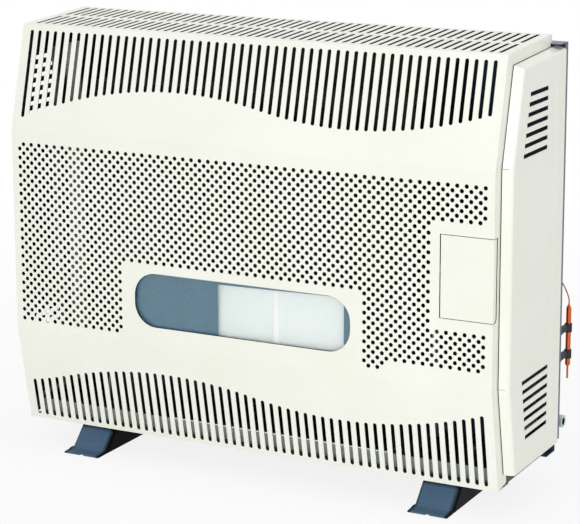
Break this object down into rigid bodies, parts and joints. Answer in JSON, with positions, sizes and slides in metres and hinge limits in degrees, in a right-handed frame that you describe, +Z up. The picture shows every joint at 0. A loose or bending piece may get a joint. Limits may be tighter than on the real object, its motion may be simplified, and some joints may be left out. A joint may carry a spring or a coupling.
{
  "type": "wall mounted gas heater",
  "caption": "Wall mounted gas heater: perforated three-facet steel cover with a wavy slot pattern, glass window, access flap, louvred side panels, pressed feet, balanced flue.",
  "frame": {"origin": "centre of the bounding box in X and Y, on the floor under the feet", "axes": "+X to the right seen from the front, +Y from the front towards the wall, +Z up"},
  "size_m": [0.735, 0.26, 0.603],
  "materials": {
    "casing_paint": "satin baked enamel",
    "back_paint": "satin baked enamel",
    "galvanised": "dull zinc",
    "steel": "plain steel",
    "chamber_enamel": "matt heat-proof enamel",
    "printed_glass": "tinted float glass",
    "sight_pane": "frosted ceramic glass",
    "fibre": "woven glass fibre rope",
    "rubber": "matt",
    "brass": "turned",
    "copper": "drawn copper, slightly dulled",
    "cast_alloy": "die cast, bead blasted",
    "black_plastic": "fine grained",
    "red_plastic": "moulded",
    "ceramic": "glazed ceramic look",
    "magnet": "sintered"
  },
  "bodies": {
    "casing": {"front_cover": "casing_paint", "side_panel_left": "casing_paint", "side_panel_right": "casing_paint", "back_plate": "back_paint", "foot_left": "back_paint", "foot_right": "back_paint", "base_tray": "galvanised", "window_glass": "printed_glass", "window_gasket": "rubber", "window_retainer": "galvanised", "flap_hinge_brackets": "steel", "flap_magnet": "magnet", "combustion_chamber": "chamber_enamel", "exchanger_fins": "chamber_enamel", "sight_glass": "sight_pane", "sight_frame": "galvanised", "sight_gasket": "fibre", "chamber_bracket_left": "galvanised", "chamber_bracket_right": "galvanised", "burner_plate": "steel", "burner_tube": "steel", "pilot_burner": "brass", "thermocouple": "copper", "spark_electrode": "ceramic", "injector_block": "brass", "manifold_pipe": "steel", "gas_valve": "cast_alloy", "piezo_igniter": "black_plastic", "control_bracket": "galvanised", "gas_inlet_pipe": "steel", "thermostat_bulb": "copper", "capillary": "copper", "bulb_clips": "black_plastic", "reflector": "galvanised", "air_duct": "chamber_enamel", "flue_spigot": "steel", "air_spigot": "galvanised", "spigot_gasket": "rubber", "wall_rail_upper": "galvanised", "wall_rail_lower": "galvanised", "foot_screws": "steel", "rail_screws": "steel", "cover_screws": "steel"},
    "flap": {"access_flap": "casing_paint"},
    "plunger": {"valve_plunger": "steel"},
    "knob": {"control_knob": "black_plastic"},
    "button": {"piezo_button": "red_plastic"}
  },
  "joints": [
    {"name": "flap_hinge", "type": "hinge", "parent": "casing", "child": "flap", "pos_m": [0.2837, -0.1276, 0.3196], "axis": [0, 0, -1], "range_deg": [0, 95]},
    {"name": "knob_push", "type": "slide", "parent": "casing", "child": "plunger", "axis": [0, 1, 0], "range_m": [0, 0.004], "stiffness_N_per_m": 1500, "springref_m": -0.002},
    {"name": "knob_turn", "type": "hinge", "parent": "plunger", "child": "knob", "pos_m": [0.312, -0.114, 0.33], "axis": [0, -1, 0], "range_deg": [0, 270]},
    {"name": "igniter_push", "type": "slide", "parent": "casing", "child": "button", "axis": [0, 1, 0], "range_m": [0, 0.006], "stiffness_N_per_m": 1500, "springref_m": -0.002}
  ]
}
